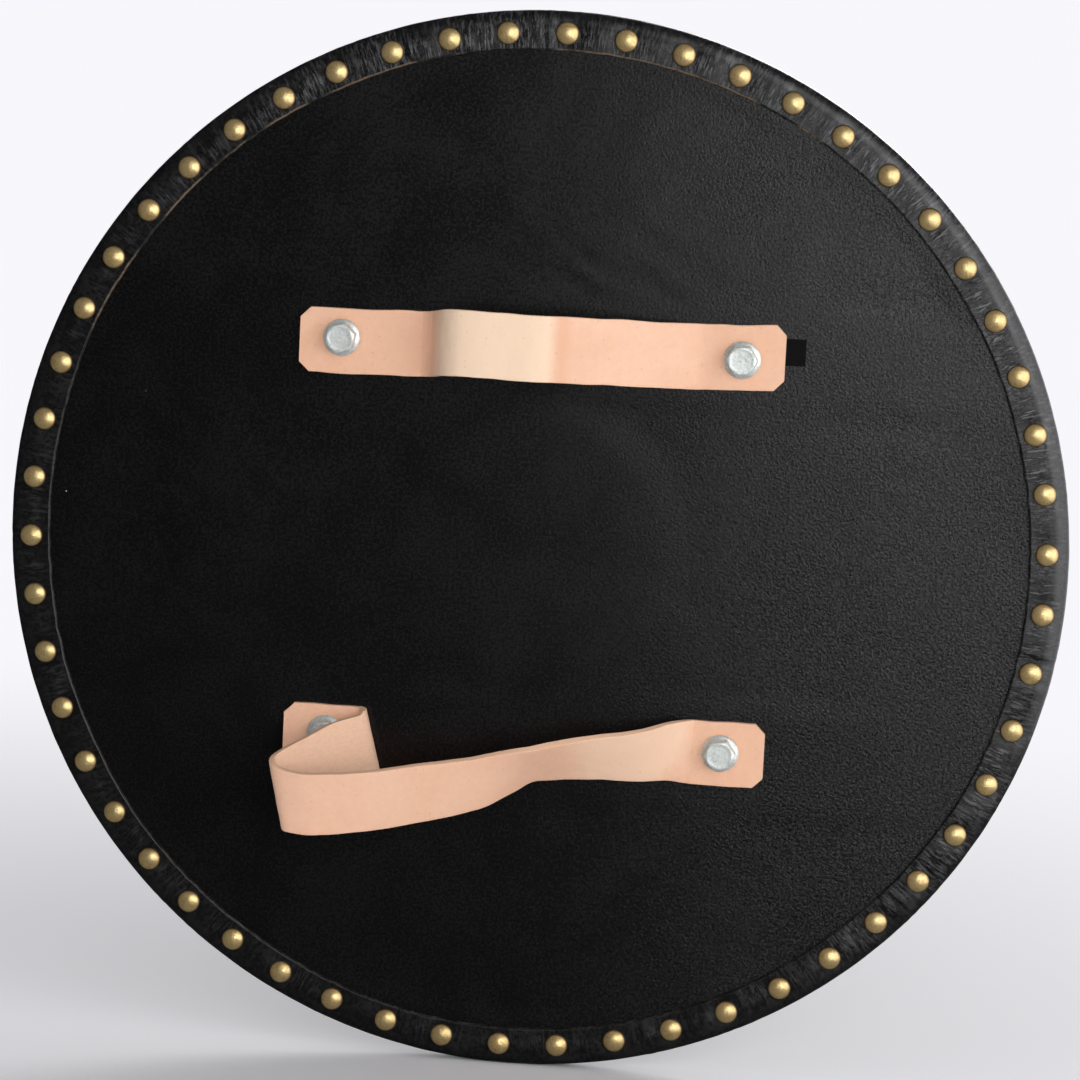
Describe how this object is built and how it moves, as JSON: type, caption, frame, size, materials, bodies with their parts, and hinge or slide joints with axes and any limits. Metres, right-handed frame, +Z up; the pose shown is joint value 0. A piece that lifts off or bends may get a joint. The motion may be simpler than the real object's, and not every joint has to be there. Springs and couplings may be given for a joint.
{
  "type": "targe",
  "caption": "Round leather-covered wooden targe with a domed brass boss, brass nails round its rim, and two bolted leather arm straps behind.",
  "frame": {"origin": "middle of the lining's outer face, where the forearm lies", "axes": "+Y along the disc's axis out of the front, -Y towards the arm, +Z up with the grip strap above the arm strap"},
  "size_m": [0.508, 0.1001, 0.508],
  "materials": {
    "board": "bare plywood",
    "black_leather": "smooth black leather, satin",
    "lining_leather": "fine-grained black leather, matt",
    "strap_leather": "undyed vegetable-tanned leather",
    "zinc_steel": "zinc plated",
    "brass": "lightly tarnished brass",
    "woven_tape": "black woven tape"
  },
  "bodies": {
    "root": {"core_front_ply": "board", "core_back_ply": "board", "leather_facing": "black_leather", "back_lining": "lining_leather", "grip_strap": "strap_leather", "arm_strap": "strap_leather", "woven_tab_upper": "woven_tape", "woven_tab_lower": "woven_tape", "centre_boss": "brass", "strap_bolt_1": "zinc_steel", "strap_bolt_2": "zinc_steel", "strap_bolt_3": "zinc_steel", "strap_bolt_4": "zinc_steel", "tee_nut_1": "zinc_steel", "tee_nut_2": "zinc_steel", "tee_nut_3": "zinc_steel", "tee_nut_4": "zinc_steel", "boss_nail_01": "brass", "boss_nail_02": "brass", "boss_nail_03": "brass", "boss_nail_04": "brass", "boss_nail_05": "brass", "boss_nail_06": "brass", "boss_nail_07": "brass", "boss_nail_08": "brass", "boss_nail_09": "brass", "boss_nail_10": "brass", "boss_nail_11": "brass", "boss_nail_12": "brass"}
  },
  "joints": []
}
